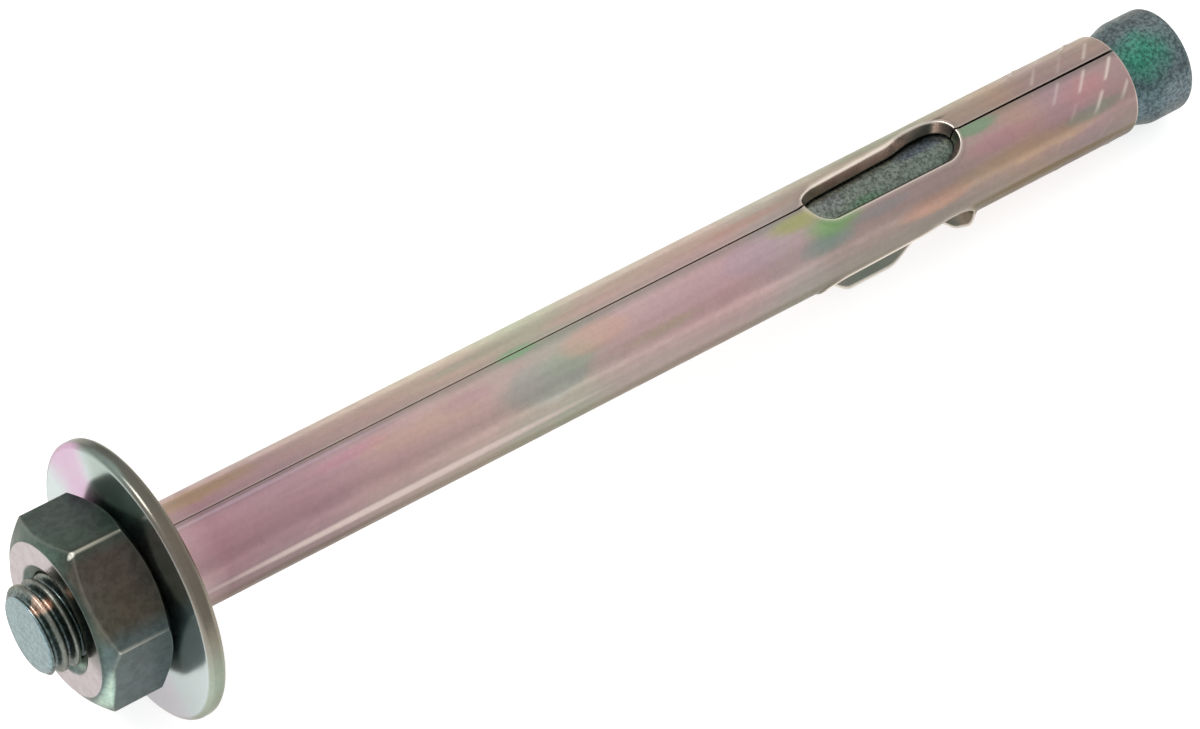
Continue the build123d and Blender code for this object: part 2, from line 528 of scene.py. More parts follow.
@dataclass
class FlatSheet:
    """Sheet laid out flat: station and distance across, with the height of each side."""

    rows: list[np.ndarray] = field(default_factory=list)
    faces: list[np.ndarray] = field(default_factory=list)
    count: int = 0

    def add_grid(
        self,
        station: np.ndarray,
        across: np.ndarray,
        lift: np.ndarray,
        rub: np.ndarray,
        flip: bool = False,
    ) -> None:
        """Adds a grid of sheet.

        Args:
            station: millimetres along the sheet, rows by columns.
            across: millimetres across it.
            lift: height of the outer side over the plain sheet.
            rub: share of painted highlight.
            flip: whether the faces are wound the other way round.
        """
        parts = np.broadcast_arrays(station, across, lift, rub)
        self.rows.append(np.stack(parts, axis=-1).reshape(-1, 4))
        shape = parts[0].shape
        index = self.count + np.arange(shape[0] * shape[1]).reshape(shape)
        corners = [index[:-1, :-1], index[:-1, 1:], index[1:, 1:], index[1:, :-1]]
        quads = np.stack(corners, axis=-1).reshape(-1, 4)
        self.faces.append(quads[:, ::-1] if flip else quads)
        self.count += shape[0] * shape[1]

    def merged(self, tolerance: float = 0.0005) -> tuple[np.ndarray, np.ndarray]:
        """Rows with equal places made one, and the faces over them."""
        rows = np.concatenate(self.rows)
        key = np.round(rows[:, :2] / tolerance).astype(np.int64)
        _, first, inverse = np.unique(key, axis=0, return_index=True, return_inverse=True)
        return rows[first], inverse.reshape(-1)[np.concatenate(self.faces)]

    @staticmethod
    def border(faces: np.ndarray, count: int) -> np.ndarray:
        """Directed edges that only one face uses, as pairs of indices."""
        edges = np.stack([faces, np.roll(faces, -1, axis=1)], axis=-1).reshape(-1, 2)
        low, high = edges.min(axis=1), edges.max(axis=1)
        _, inverse, uses = np.unique(low * count + high, return_inverse=True, return_counts=True)
        return edges[uses[inverse.reshape(-1)] == 1]


@dataclass
class Sleeve:
    """Sheet rolled round the shank, worked out flat and bent to the sleeve's radius.

    A point's distance across the sheet becomes its turn round the axis, after the seam
    has taken its opening from both edges in equal share. The sheet's two sides follow the
    same grid and are joined by a wall along every cut edge.
    """

    place: AnchorFrame
    radius: float = 6.0
    wall: float = 0.9
    length: float = 128.0
    seam_turn_deg: float = 4.0
    gap_at_washer: float = 0.05
    gap_at_mouth: float = 0.28
    edge_rounding: float = 0.16
    window_middle: float = 94.5
    window_half_length: float = 10.5
    window_half_width: float = 2.95
    block_half_length: float = 13.5
    lip_height: float = 0.22
    lip_width: float = 0.85
    punch_slope: float = 0.28
    punch_reach: float = 0.6
    burr: float = 0.34
    step: Plateau = Plateau(80.5, 3.5, 101.0, 4.0)
    step_depth: float = 1.4
    step_slant: float = 0.035
    step_middle: float = 86.4
    step_reach: float = 3.2
    high_tab: Plateau = Plateau(86.0, 3.5, 100.2, 5.5)
    low_tab: Plateau = Plateau(102.8, 1.4, 106.2, 1.4)
    tab_side: Plateau = Plateau(-1.2, 2.4, 9.0, 2.0)
    tab_height: float = 2.0
    tab_foot: float = 1.5
    low_tab_share: float = 0.5
    wall_shares: tuple[float, ...] = (0.12, 0.88)
    offsets: tuple[float, ...] = (0.26, 0.38, 0.5, 0.64, 0.8, 0.98)
    half_sector_steps: int = 37
    side_steps: int = 40
    marks: Plateau = Plateau(115.5, 0.7, 127.65, 0.5)
    marks_from: float = 114.6
    ridge_spacing: float = 3.77
    ridge_offset: float = 0.2
    ridge_height: float = 0.12
    ridge_half_width: float = 0.28
    stroke_pitch: float = 3.14
    stroke_gap_at: float = 3.15
    fade_from: float = 4.6
    fade_wider: float = 2.2
    fade_wider_before: float = 118.8
    fade_to: float = 13.0
    faint_from: float = 34.0
    lip_highlight: float = 0.3
    ridge_highlight: float = 0.9
    edge_highlight: float = 0.7
    highlight_depth: float = 0.3
    glint_width: float = 0.35
    far_from_window: float = 9.0

    def sheet_width(self) -> float:
        """Width of the flat sheet before the seam takes its opening."""
        return FULL_TURN * self.radius

    def edge_steps(self) -> np.ndarray:
        """Distances from a cut edge at which its rounding is sampled."""
        return self.edge_rounding * (1 - np.cos(np.linspace(0, math.pi / 2, 5)))

    def edge_drop(self, distance: np.ndarray) -> np.ndarray:
        """Fall of the surface near a cut edge: a quarter circle of the edge's rounding."""
        inward = np.clip(self.edge_rounding - distance, 0, self.edge_rounding)
        return self.edge_rounding - np.sqrt(self.edge_rounding**2 - inward**2)

    def from_borders(
        self, station: np.ndarray, across: np.ndarray
    ) -> tuple[np.ndarray, np.ndarray]:
        """Distances from the nearer seam edge and from the nearer end of the sheet."""
        seam = np.minimum(across, self.sheet_width() - across)
        return seam, np.minimum(station, self.length - station)

    def border_drop(self, station: np.ndarray, across: np.ndarray) -> np.ndarray:
        """Fall of the surface along the seam and at both ends of the sheet."""
        seam, end = self.from_borders(station, across)
        return np.maximum(self.edge_drop(seam), self.edge_drop(end))

    def ridges(self, station: np.ndarray, across: np.ndarray) -> np.ndarray:
        """Share of the slanted marks near the mouth.

        The marks lie on helices at 45 degrees, ten round the sleeve. Each is a rounded
        ridge across its line, broken along it into short strokes of unequal strength, with
        a painted highlight. The strokes fade out, in height and highlight, between the lines
        of the seam and the lower window, and are faint before the seam's other edge.
        """
        line = (station + across) / self.ridge_spacing + self.ridge_offset
        away = np.abs(line - np.round(line)) * self.ridge_spacing / math.sqrt(2)
        stroke = (across - self.stroke_gap_at) / self.stroke_pitch
        from_gap = np.abs(stroke - np.round(stroke)) * 2
        strength = 0.55 + 0.45 * np.sin(2.6 * np.round(line) + 4.1 * np.floor(stroke))
        broken = strength * ease((from_gap - 0.16) / 0.3)
        # the strokes fade out across this band, in height and in painted highlight
        wider = self.fade_wider * ease((self.fade_wider_before - station) / 1.4)
        mark_weight = ease((across - self.fade_from + wider) / 1.2) * ease((self.fade_to - across) / 1.6)
        shown = 1 - 0.95 * mark_weight - 0.4 * ease(across - self.faint_from)
        ridge = ease(1 - away / self.ridge_half_width)
        return ridge * self.marks.share(station) * broken * shown

    def ears(self, station: np.ndarray, across: np.ndarray, distance: np.ndarray) -> np.ndarray:
        """Height of the two tabs bent outwards on the hidden edge of the lower window.

        Each tab is a flat-topped rise along the edge that falls away over its foot.
        """
        along = self.high_tab.share(station) + self.low_tab_share * self.low_tab.share(station)
        aside = self.tab_side.share(across - self.sheet_width() / 3)
        return self.tab_height * along * aside * (1 - ease(distance / self.tab_foot)) ** 2

    def lay(
        self,
        sheet: FlatSheet,
        station: np.ndarray,
        across: np.ndarray,
        distance: float | np.ndarray,
        flip: bool = False,
    ) -> None:
        """Adds a grid of sheet with its rounded edges, lips, tabs, marks and painted highlights.

        Args:
            sheet: the sheet to add to.
            station: millimetres along it, rows by columns.
            across: millimetres across it.
            distance: millimetres from the nearest window's edge.
            flip: whether the faces are wound the other way round.
        """
        lip = 1 - ease(distance / self.lip_width)
        ridge = self.ridges(station, across)
        lift = self.lip_height * lip + self.ridge_height * ridge
        lift = lift + self.ears(station, across, distance)
        drop = np.maximum(self.edge_drop(distance), self.border_drop(station, across))
        seam, end = self.from_borders(station, across)
        nearest = np.minimum(distance, np.minimum(end, seam + 0.12))
        edge = ease(1 - nearest / self.highlight_depth)
        sector = self.sheet_width() / 3
        stepped_side = across < sector * np.round(across / sector) - self.window_half_width / 2
        glint = self.step.share(station) * ease(1.4 - distance / self.glint_width)
        # painted highlight: pale colour on the lips, strokes and cut edges, and a painted glint
        # along the stepped window edge
        rub = np.maximum(self.lip_highlight * lip * lip, self.ridge_highlight * ridge)
        rub = np.maximum(rub, self.edge_highlight * edge)
        rub = np.maximum(rub, np.where(stepped_side, glint, 0))
        sheet.add_grid(station, across, lift - drop, rub, flip)

    def rise(self) -> np.ndarray:
        """Distances across one half sector, crowded at its start for the seam's rounding."""
        half_sector = self.sheet_width() / 6
        steps = self.edge_steps()
        even = np.linspace(steps[-1], half_sector, self.half_sector_steps + 1)[1:]
        return np.concatenate([steps, even])

    def columns_across(self) -> np.ndarray:
        """Distances across the sheet that every plain stretch shares with the window blocks."""
        rise = self.rise()
        sector = self.sheet_width() / 3
        both = np.concatenate([rise, sector - rise[::-1][1:]])
        return np.concatenate([both[:-1], sector + both[:-1], 2 * sector + both])

    def plain_stretch(self, sheet: FlatSheet, stations: np.ndarray) -> None:
        """Adds a stretch of sheet with no window over the rows' stations."""
        station, across = np.meshgrid(stations, self.columns_across(), indexing="ij")
        self.lay(sheet, station, across, self.far_from_window)

    def flat_end(self) -> float:
        """Distance from a window's middle to the centre of either round end."""
        return self.window_half_length - self.window_half_width

    def half_window(self) -> tuple[np.ndarray, np.ndarray, np.ndarray]:
        """Flat grid round one half of a window, from its edge to the block's border.

        The edge is half an obround: quarter circle, straight, quarter circle. The border
        is half a rectangle with the same number of steps. Near the edge the grid is the
        edge moved outwards; farther out it runs straight to the border.

        Returns:
            Station and distance from the window's middle point, and distance from its
            edge, each of rows by columns.
        """
        rise = self.rise()
        half_sector = rise[-1]
        share = rise / half_sector
        start_slope = half_sector / self.window_half_width - math.pi / 2
        quarter = math.pi / 2 * share + start_slope * share * (1 - share) ** 2
        flat_end, block_end = self.flat_end(), self.block_half_length
        side = np.linspace(-flat_end, flat_end, self.side_steps + 1)[1:-1]
        normal_s = np.concatenate([-np.cos(quarter), 0 * side, np.cos(quarter)[::-1]])
        normal_a = np.concatenate([np.sin(quarter), 0 * side + 1, np.sin(quarter)[::-1]])
        core_s = np.concatenate([0 * quarter - flat_end, side, 0 * quarter + flat_end])
        border_side = np.linspace(-block_end, block_end, self.side_steps + 1)[1:-1]
        border_s = np.concatenate([0 * rise - block_end, border_side, 0 * rise + block_end])
        border_a = np.concatenate([rise, 0 * border_side + half_sector, rise[::-1]])
        offsets = np.concatenate([self.edge_steps(), self.offsets])[:, None]
        reach = self.window_half_width + offsets
        near_s = core_s + reach * normal_s
        near_a = reach * normal_a
        out = np.linspace(0, 1, 6)[1:, None]
        far_s = near_s[-1:] * (1 - out) + border_s * out
        far_a = near_a[-1:] * (1 - out) + border_a * out
        away = np.concatenate([offsets + 0 * near_s, self.far_from_window + 0 * far_s])
        return np.concatenate([near_s, far_s]), np.concatenate([near_a, far_a]), away

    def window_blocks(self, sheet: FlatSheet) -> None:
        """Adds the sheet round the three windows, the first one split by the seam."""
        station, aside, distance = self.half_window()
        station = station + self.window_middle
        sector = self.sheet_width() / 3
        for middle in (0, sector, 2 * sector):
            self.lay(sheet, station, middle + aside, distance, flip=True)
        for middle in (sector, 2 * sector, 3 * sector):
            self.lay(sheet, station, middle - aside, distance)

    def mouth_rows(self) -> np.ndarray:
        """Stations from the windows to the mouth, even where the marks are, crowded at the end."""
        step = (self.rise()[-1] - self.edge_rounding) / self.half_sector_steps
        block_end = self.window_middle + self.block_half_length
        coarse = np.linspace(block_end, self.marks_from, 6)
        last = self.length - self.edge_rounding
        fine = np.linspace(self.marks_from, last, round((last - self.marks_from) / step) + 1)
        return np.concatenate([coarse[:-1], fine[:-1], self.length - self.edge_steps()[::-1]])

    def stepped(self, station: np.ndarray, across: np.ndarray) -> np.ndarray:
        """Distances across the sheet after one edge of each window has been stepped in.

        The edge moves towards the window's middle line by a depth that lessens along it.
        The sheet behind the edge stretches after it, and the end's curve is squeezed.

        Args:
            station: millimetres along the sheet.
            across: millimetres across it.

        Returns:
            The new distance across.
        """
        sector = self.sheet_width() / 3
        aside = np.maximum(sector * np.round(across / sector) - across, 0)
        behind = 1 - ease((aside - self.window_half_width) / self.step_reach)
        shape = np.minimum(aside / self.window_half_width, 1) * behind
        depth = self.step_depth * (1 - self.step_slant * (station - self.step_middle))
        return across + depth * self.step.share(station) * shape

    def bend(self, station: np.ndarray, across: np.ndarray, lift: np.ndarray) -> np.ndarray:
        """Rolls flat sheet points onto the sleeve and carries them to the shared frame."""
        across = self.stepped(station, across)
        share = (station / self.length) ** 2
        gap = self.gap_at_washer + (self.gap_at_mouth - self.gap_at_washer) * share
        width = self.sheet_width()
        closed = gap / 2 + across * (width - gap) / width
        turn = closed / self.radius + math.radians(self.seam_turn_deg)
        return self.place.place(station, self.radius + lift, turn)

    def punched(
        self, station: np.ndarray, across: np.ndarray
    ) -> tuple[np.ndarray, np.ndarray, np.ndarray]:
        """Places of the inner side's points, drawn into the windows by the punch's slope.

        Each point near a window moves towards the line between the centres of the
        window's round ends, most at the edge itself.

        Args:
            station: millimetres along the sheet.
            across: millimetres across it.

        Returns:
            The moved station and distance across, and the share of the move.
        """
        sector = self.sheet_width() / 3
        aside = across - sector * np.round(across / sector)
        along = station - self.window_middle
        beyond = along - np.clip(along, -self.flat_end(), self.flat_end())
        from_core = np.maximum(np.hypot(beyond, aside), 1e-6)
        share = 1 - ease((from_core - self.window_half_width) / self.punch_reach)
        move = self.punch_slope * share / from_core
        return station - beyond * move, across - aside * move, share

    def build(self) -> bpy.types.Object:
        """Makes both sides of the sheet and the wall that joins them along its edges.

        The mesh's points are the outer side, the inner side, then one copy of the sheet
        for each level of the wall. The copies' points away from an edge go unused.
        """
        block_start = self.window_middle - self.block_half_length
        plain_rows = np.linspace(0, block_start, 13)[1:]
        sheet = FlatSheet()
        self.plain_stretch(sheet, np.concatenate([self.edge_steps(), plain_rows]))
        self.window_blocks(sheet)
        self.plain_stretch(sheet, self.mouth_rows())
        rows, faces = sheet.merged()
        count = len(rows)
        station, across, lift, rub = rows.T
        outer = self.bend(station, across, lift)
        inner_lift = self.border_drop(station, across) - self.wall
        inner_station, inner_across, cut = self.punched(station, across)
        inner = self.bend(inner_station, inner_across, inner_lift - self.burr * cut)
        shell = Shell()
        shell.add_points(outer, {Mark.RUB: rub})
        shell.add_points(inner, {})
        levels = [0]
        for share in self.wall_shares:
            levels.append(shell.count)
            shell.add_points(outer + (inner - outer) * share, {})
        levels.append(count)
        start, end = FlatSheet.border(faces, count).T
        for upper, lower in zip(levels[:-1], levels[1:]):
            walls = [end + upper, start + upper, start + lower, end + lower]
            shell.faces.append(np.stack(walls, axis=-1))
        shell.faces.extend([faces, faces[:, ::-1] + count])
        return shell.make("sleeve_body")


# ---------------------------------------------------------------- finishes


class NodeSheet:
    """Thin helper that adds and links shader nodes in one tree."""

    def __init__(self, tree: bpy.types.NodeTree) -> None:
        """Keeps the tree."""
        self.tree = tree

    def add(self, kind: str, inputs: dict | None = None, **settings: object) -> bpy.types.Node:
        """Adds a node.

        Args:
            kind: the node's type name.
            inputs: socket name or number to a value or to another node's output.
            settings: properties of the node.

        Returns:
            The new node.
        """
        node = self.tree.nodes.new(kind)
        for name, value in settings.items():
            setattr(node, name, value)
        for name, value in (inputs or {}).items():
            self.feed(node.inputs[name], value)
        return node

    def feed(self, socket: bpy.types.NodeSocket, value: object) -> None:
        """Links an output to the socket, or sets the socket to a plain value."""
        if isinstance(value, bpy.types.NodeSocket):
            self.tree.links.new(value, socket)
        elif isinstance(value, tuple) and len(value) == 3 and socket.type == "RGBA":
            socket.default_value = (*value, 1.0)
        else:
            socket.default_value = value

    def math(self, operation: str, *values: object) -> bpy.types.NodeSocket:
        """Output of a Math node over the given values."""
        return self.add("ShaderNodeMath", dict(enumerate(values)), operation=operation).outputs[0]

    def vector(self, operation: str, first: object, second: object) -> bpy.types.NodeSocket:
        """Vector output of a Vector Math node over two values."""
        node = self.add("ShaderNodeVectorMath", {0: first, 1: second}, operation=operation)
        return node.outputs[0]

    def grey(self, value: object) -> bpy.types.NodeSocket:
        """Grey colour whose three parts are the value."""
        parts = {"Red": value, "Green": value, "Blue": value}
        return self.add("ShaderNodeCombineColor", parts).outputs[0]

    def between(self, share: object, first: object, second: object) -> bpy.types.NodeSocket:
        """Value that goes from the first to the second by the share."""
        node = self.add("ShaderNodeMix", {0: share, 2: first, 3: second}, data_type="FLOAT")
        return node.outputs[0]

    def mark(self, mark: Mark) -> bpy.types.NodeSocket:
        """Value of a mark that the mesh carries."""
        node = self.add("ShaderNodeAttribute", attribute_type="GEOMETRY", attribute_name=mark.value)
        return node.outputs["Fac"]

    def group(self, tree: bpy.types.NodeTree, inputs: dict) -> bpy.types.NodeSocket:
        """First output of a node group with the given inputs."""
        return self.add("ShaderNodeGroup", inputs, node_tree=tree).outputs[0]

    def span(
        self, value: object, low: float, high: float, to_low: float = 0.0, to_high: float = 1.0
    ) -> bpy.types.NodeSocket:
        """Smooth map of a value from one range to another, held at the ends."""
        inputs = dict(zip(("Value", "From Min", "From Max"), (value, low, high)))
        inputs |= {"To Min": to_low, "To Max": to_high}
        node = self.add("ShaderNodeMapRange", inputs, interpolation_type="SMOOTHSTEP")
        return node.outputs["Result"]

    def blend(
        self, share: object, first: object, second: object, kind: Blend = Blend.MIX
    ) -> bpy.types.NodeSocket:
        """Colour that lays the second over the first by the share."""
        inputs = {0: share, 6: first, 7: second}
        return self.add("ShaderNodeMix", inputs, data_type="RGBA", blend_type=kind.value).outputs[2]

    def ramp(self, value: object, stops: Stops) -> bpy.types.NodeSocket:
        """Colour ramp with eased stops."""
        node = self.add("ShaderNodeValToRGB", {"Fac": value})
        node.color_ramp.interpolation = "EASE"
        elements = node.color_ramp.elements
        while len(elements) < len(stops):
            elements.new(0.5)
        for element, (position, colour) in zip(elements, stops):
            element.position = position
            element.color = (*colour, 1.0)
        return node.outputs["Color"]

    def cloud(
        self, vector: object, scale: object, detail: float = 2.0, roughness: float = 0.5
    ) -> bpy.types.NodeSocket:
        """Noise value of the vector at a scale in cells per millimetre."""
        inputs = {"Vector": vector, "Scale": scale, "Detail": detail, "Roughness": roughness}
        return self.add("ShaderNodeTexNoise", inputs).outputs["Fac"]


def new_group(
    name: str, inputs: dict[str, str], outputs: dict[str, str]
) -> tuple[bpy.types.NodeTree, NodeSheet, bpy.types.Node, bpy.types.Node]:
    """Starts a shader node group.

    Args:
        name: the group's name.
        inputs: socket name to socket type, such as NodeSocketFloat.
        outputs: the same for what it puts out.

    Returns:
        The tree, a sheet on it, and its input and output nodes.
    """
    tree = bpy.data.node_groups.new(name, "ShaderNodeTree")
    for label, kind in inputs.items():
        tree.interface.new_socket(label, in_out="INPUT", socket_type=kind)
    for label, kind in outputs.items():
        tree.interface.new_socket(label, in_out="OUTPUT", socket_type=kind)
    sheet = NodeSheet(tree)
    return tree, sheet, sheet.add("NodeGroupInput"), sheet.add("NodeGroupOutput")


class SharedEffects:
    """Node groups that the finishes share.

    Drawn lines and streaks are noise in cells per millimetre, few along the axis and
    many across it.
    """

    line_cells = (0.12, 5.0, 5.0)
    streak_cells = (0.05, 1.5, 1.5)

    def __init__(self, place: AnchorFrame) -> None:
        """Builds each group once.

        Args:
            place: the anchor's frame, for the cylinder coordinates.
        """
        self.place = place
        self.coordinates = self.build_coordinates()
        self.mottle = self.build_mottle()
        self.grain = self.build_grain()
        self.speckle = self.build_speckle()

    def build_coordinates(self) -> bpy.types.NodeTree:
        """Place in millimetres along the anchor, its station, and its turn from -180 to 180."""
        outputs = {"Millimetres": VECTOR, "Station": FLOAT, "Turn": FLOAT}
        tree, sheet, _, out = new_group("anchor coordinates", {}, outputs)
        raw = sheet.add("ShaderNodeTexCoord").outputs["Object"]
        scaled = sheet.vector("MULTIPLY", raw, (1000.0, 1000.0, 1000.0))
        moved = sheet.vector("SUBTRACT", scaled, self.place.origin_mm)
        fall = math.radians(self.place.fall_deg)
        turned = {"Vector": moved, "Angle": -fall, "Axis": (0.0, 1.0, 0.0)}
        level = sheet.add("ShaderNodeVectorRotate", turned, rotation_type="AXIS_ANGLE").outputs[0]
        parts = sheet.add("ShaderNodeSeparateXYZ", {0: level}).outputs
        seen = sheet.math("MULTIPLY", parts["Y"], -1.0)
        turn = sheet.math("MULTIPLY", sheet.math("ARCTAN2", seen, parts["Z"]), 180 / math.pi)
        for name, value in (("Millimetres", level), ("Station", parts["X"]), ("Turn", turn)):
            sheet.feed(out.inputs[name], value)
        return tree

    def build_mottle(self) -> bpy.types.NodeTree:
        """Cloudy value round 0, soft at film scale with finer cells on top."""
        inputs = {"Vector": VECTOR, "Broad": FLOAT, "Fine share": FLOAT}
        tree, sheet, node, out = new_group("film mottle", inputs, {"Value": FLOAT})
        given = node.outputs
        broad = sheet.cloud(given["Vector"], given["Broad"])
        fine_scale = sheet.math("MULTIPLY", given["Broad"], 6.0)
        fine = sheet.cloud(given["Vector"], fine_scale, detail=3.0, roughness=0.6)
        mixed = sheet.between(given["Fine share"], broad, fine)
        sheet.feed(out.inputs["Value"], sheet.math("SUBTRACT", mixed, 0.5))
        return tree

    def build_grain(self) -> bpy.types.NodeTree:
        """Fine height of plated steel: drawn lines along the axis and a little orange peel."""
        inputs = {"Vector": VECTOR, "Lines": FLOAT, "Peel": FLOAT}
        tree, sheet, node, out = new_group("plated grain", inputs, {"Height": FLOAT})
        given = node.outputs
        stretched = sheet.vector("MULTIPLY", given["Vector"], self.line_cells)
        lines = sheet.math("MULTIPLY", sheet.cloud(stretched, 1.0), given["Lines"])
        peel = sheet.cloud(given["Vector"], 3.5, detail=3.0)
        height = sheet.math("MULTIPLY_ADD", peel, given["Peel"], lines)
        sheet.feed(out.inputs["Height"], height)
        return tree

    def build_speckle(self) -> bpy.types.NodeTree:
        """Brightness near 1 that varies in small specks and in streaks along the axis."""
        inputs = {"Vector": VECTOR, "Cells": FLOAT, "Speck": FLOAT, "Streak": FLOAT}
        tree, sheet, node, out = new_group("film speckle", inputs, {"Shade": FLOAT})
        given = node.outputs
        cells = sheet.cloud(given["Vector"], given["Cells"], detail=3.0, roughness=0.75)
        specks = sheet.math("MULTIPLY", sheet.span(cells, 0.36, 0.64, -1.0, 1.0), given["Speck"])
        stretched = sheet.vector("MULTIPLY", given["Vector"], self.streak_cells)
        streaks = sheet.span(sheet.cloud(stretched, 1.0, detail=3.0), *NOISE_SPAN, -1.0, 1.0)
        both = sheet.math("MULTIPLY_ADD", streaks, given["Streak"], specks)
        sheet.feed(out.inputs["Shade"], sheet.math("ADD", both, 1.0))
        return tree


@dataclass(frozen=True)
class Patch:
    """Soft oval of colour at a station and turn; most are film colour, some are painted highlight
    and painted shade.

    Half sizes are millimetres along and degrees round. The warp is how much of the
    finish's own warp bends the border.
    """

    station: float
    turn: float
    long: float
    wide: float
    colour: Colour
    strength: float = 0.8
    warp: float = 1.0


@dataclass(frozen=True)
class PlatedSteel:
    """Zinc plate with a yellow iridescent film.

    Band stops run by turn over the whole circle, length stops by station between the
    two lengths. Cells, speck and streak set the spots in the colour; lines, peel and
    bump set the fine relief. Some stops and patches are painted highlight and painted
    shade, and the highlight colour is painted highlight laid where the mesh's
    highlight mark lies.
    """

    name: str
    band_stops: Stops
    length_stops: Stops
    length_from: float
    length_to: float
    highlight_colour: Colour
    highlight_strength: float
    length_blend: Blend = Blend.MIX
    length_share: float = 0.5
    bright_colour: Colour = (0.5, 0.5, 0.5)
    bright_roughness: float = 0.16
    patches: tuple[Patch, ...] = ()
    mottle_scale: float = 0.10
    mottle_shift: float = 0.10
    patch_warp: float = 2.4
    roughness: tuple[float, float] = (0.24, 0.34)
    lines: float = 0.5
    peel: float = 0.5
    bump: float = 0.2
    bump_distance_m: float = 0.00004
    edge_tint: Colour = (0.75, 0.72, 0.68)
    cells: float = 1.6
    speck: float = 0.06
    streak: float = 0.05

    def tint(
        self, sheet: NodeSheet, effects: SharedEffects, where: bpy.types.Node
    ) -> bpy.types.NodeSocket:
        """Film colour: bands round the axis, drift along it, patches, specks, painted highlights.

        Args:
            sheet: the material's nodes.
            effects: the shared node groups.
            where: the node that gives the anchor coordinates.

        Returns:
            The colour output.
        """
        vector, station = where.outputs["Millimetres"], where.outputs["Station"]
        mottled = {"Vector": vector, "Broad": self.mottle_scale, "Fine share": 0.22}
        drift = sheet.group(effects.mottle, mottled)
        turn_share = sheet.math("MULTIPLY_ADD", where.outputs["Turn"], 1 / 360, 0.5)
        turn_share = sheet.math("MULTIPLY_ADD", drift, self.mottle_shift * 0.3, turn_share)
        reach = {"Value": station, "From Min": self.length_from, "From Max": self.length_to}
        along = sheet.add("ShaderNodeMapRange", reach).outputs["Result"]
        along = sheet.math("MULTIPLY_ADD", drift, self.mottle_shift, along)
        bands = sheet.ramp(turn_share, self.band_stops)
        lengths = sheet.ramp(along, self.length_stops)
        colour = sheet.blend(self.length_share, bands, lengths, self.length_blend)
        colour = sheet.blend(sheet.mark(Mark.BRIGHT), colour, self.bright_colour)
        for patch in self.patches:
            colour = sheet.blend(self.patch_mask(sheet, where, patch, drift), colour, patch.colour)
        specks = {"Vector": vector, "Cells": self.cells, "Speck": self.speck, "Streak": self.streak}
        shade = sheet.grey(sheet.group(effects.speckle, specks))
        spotted = sheet.math("MULTIPLY_ADD", sheet.mark(Mark.BRIGHT), -0.55, 1.0)
        colour = sheet.blend(spotted, colour, shade, Blend.MULTIPLY)
        # painted highlight: the highlight colour laid where the highlight mark lies
        highlight_level = sheet.math("MULTIPLY", sheet.mark(Mark.RUB), self.highlight_strength)
        return sheet.blend(highlight_level, colour, self.highlight_colour)

    def patch_mask(
        self, sheet: NodeSheet, where: bpy.types.Node, patch: Patch, drift: bpy.types.NodeSocket
    ) -> bpy.types.NodeSocket:
        """Oval mask, 1 in the middle of the patch and 0 past its border, bent by the mottle.

        Args:
            sheet: the material's nodes.
            where: the node that gives the anchor coordinates.
            patch: the patch.
            drift: the mottle's value.

        Returns:
            The mask output, scaled by the patch's strength.
        """
        along = sheet.math("SUBTRACT", where.outputs["Station"], patch.station)
        along = sheet.math("DIVIDE", along, patch.long)
        aside = sheet.math("SUBTRACT", where.outputs["Turn"], patch.turn)
        aside = sheet.math("DIVIDE", aside, patch.wide)
        square = sheet.math("MULTIPLY_ADD", along, along, sheet.math("MULTIPLY", aside, aside))
        warped = sheet.math("MULTIPLY_ADD", drift, self.patch_warp * patch.warp, square)
        return sheet.math("MULTIPLY", sheet.span(warped, 0.0, 1.0, 1.0, 0.0), patch.strength)

    def material(self, effects: SharedEffects) -> bpy.types.Material:
        """Makes the material.

        Args:
            effects: the shared node groups.

        Returns:
            A node material with colour, roughness and bump that vary over the piece.
        """
        material = bpy.data.materials.new(self.name)
        material.use_nodes = True
        material.node_tree.nodes.clear()
        sheet = NodeSheet(material.node_tree)
        where = sheet.add("ShaderNodeGroup", node_tree=effects.coordinates)
        shader = sheet.add("ShaderNodeBsdfPrincipled")
        sheet.add("ShaderNodeOutputMaterial", {"Surface": shader.outputs["BSDF"]})
        sheet.feed(shader.inputs["Base Color"], self.tint(sheet, effects, where))
        shader.inputs["Metallic"].default_value = 1.0
        shader.inputs["Specular Tint"].default_value = (*self.edge_tint, 1.0)
        vector = where.outputs["Millimetres"]
        cloudy = sheet.cloud(vector, 0.5, detail=3.0)
        cloudy = sheet.span(cloudy, *NOISE_SPAN, *self.roughness)
        rough = sheet.between(sheet.mark(Mark.BRIGHT), cloudy, self.bright_roughness)
        sheet.feed(shader.inputs["Roughness"], rough)
        grained = {"Vector": vector, "Lines": self.lines, "Peel": self.peel}
        relief = {"Height": sheet.group(effects.grain, grained), "Strength": self.bump}
        bump = sheet.add("ShaderNodeBump", relief | {"Distance": self.bump_distance_m})
        sheet.feed(shader.inputs["Normal"], bump.outputs["Normal"])
        return material


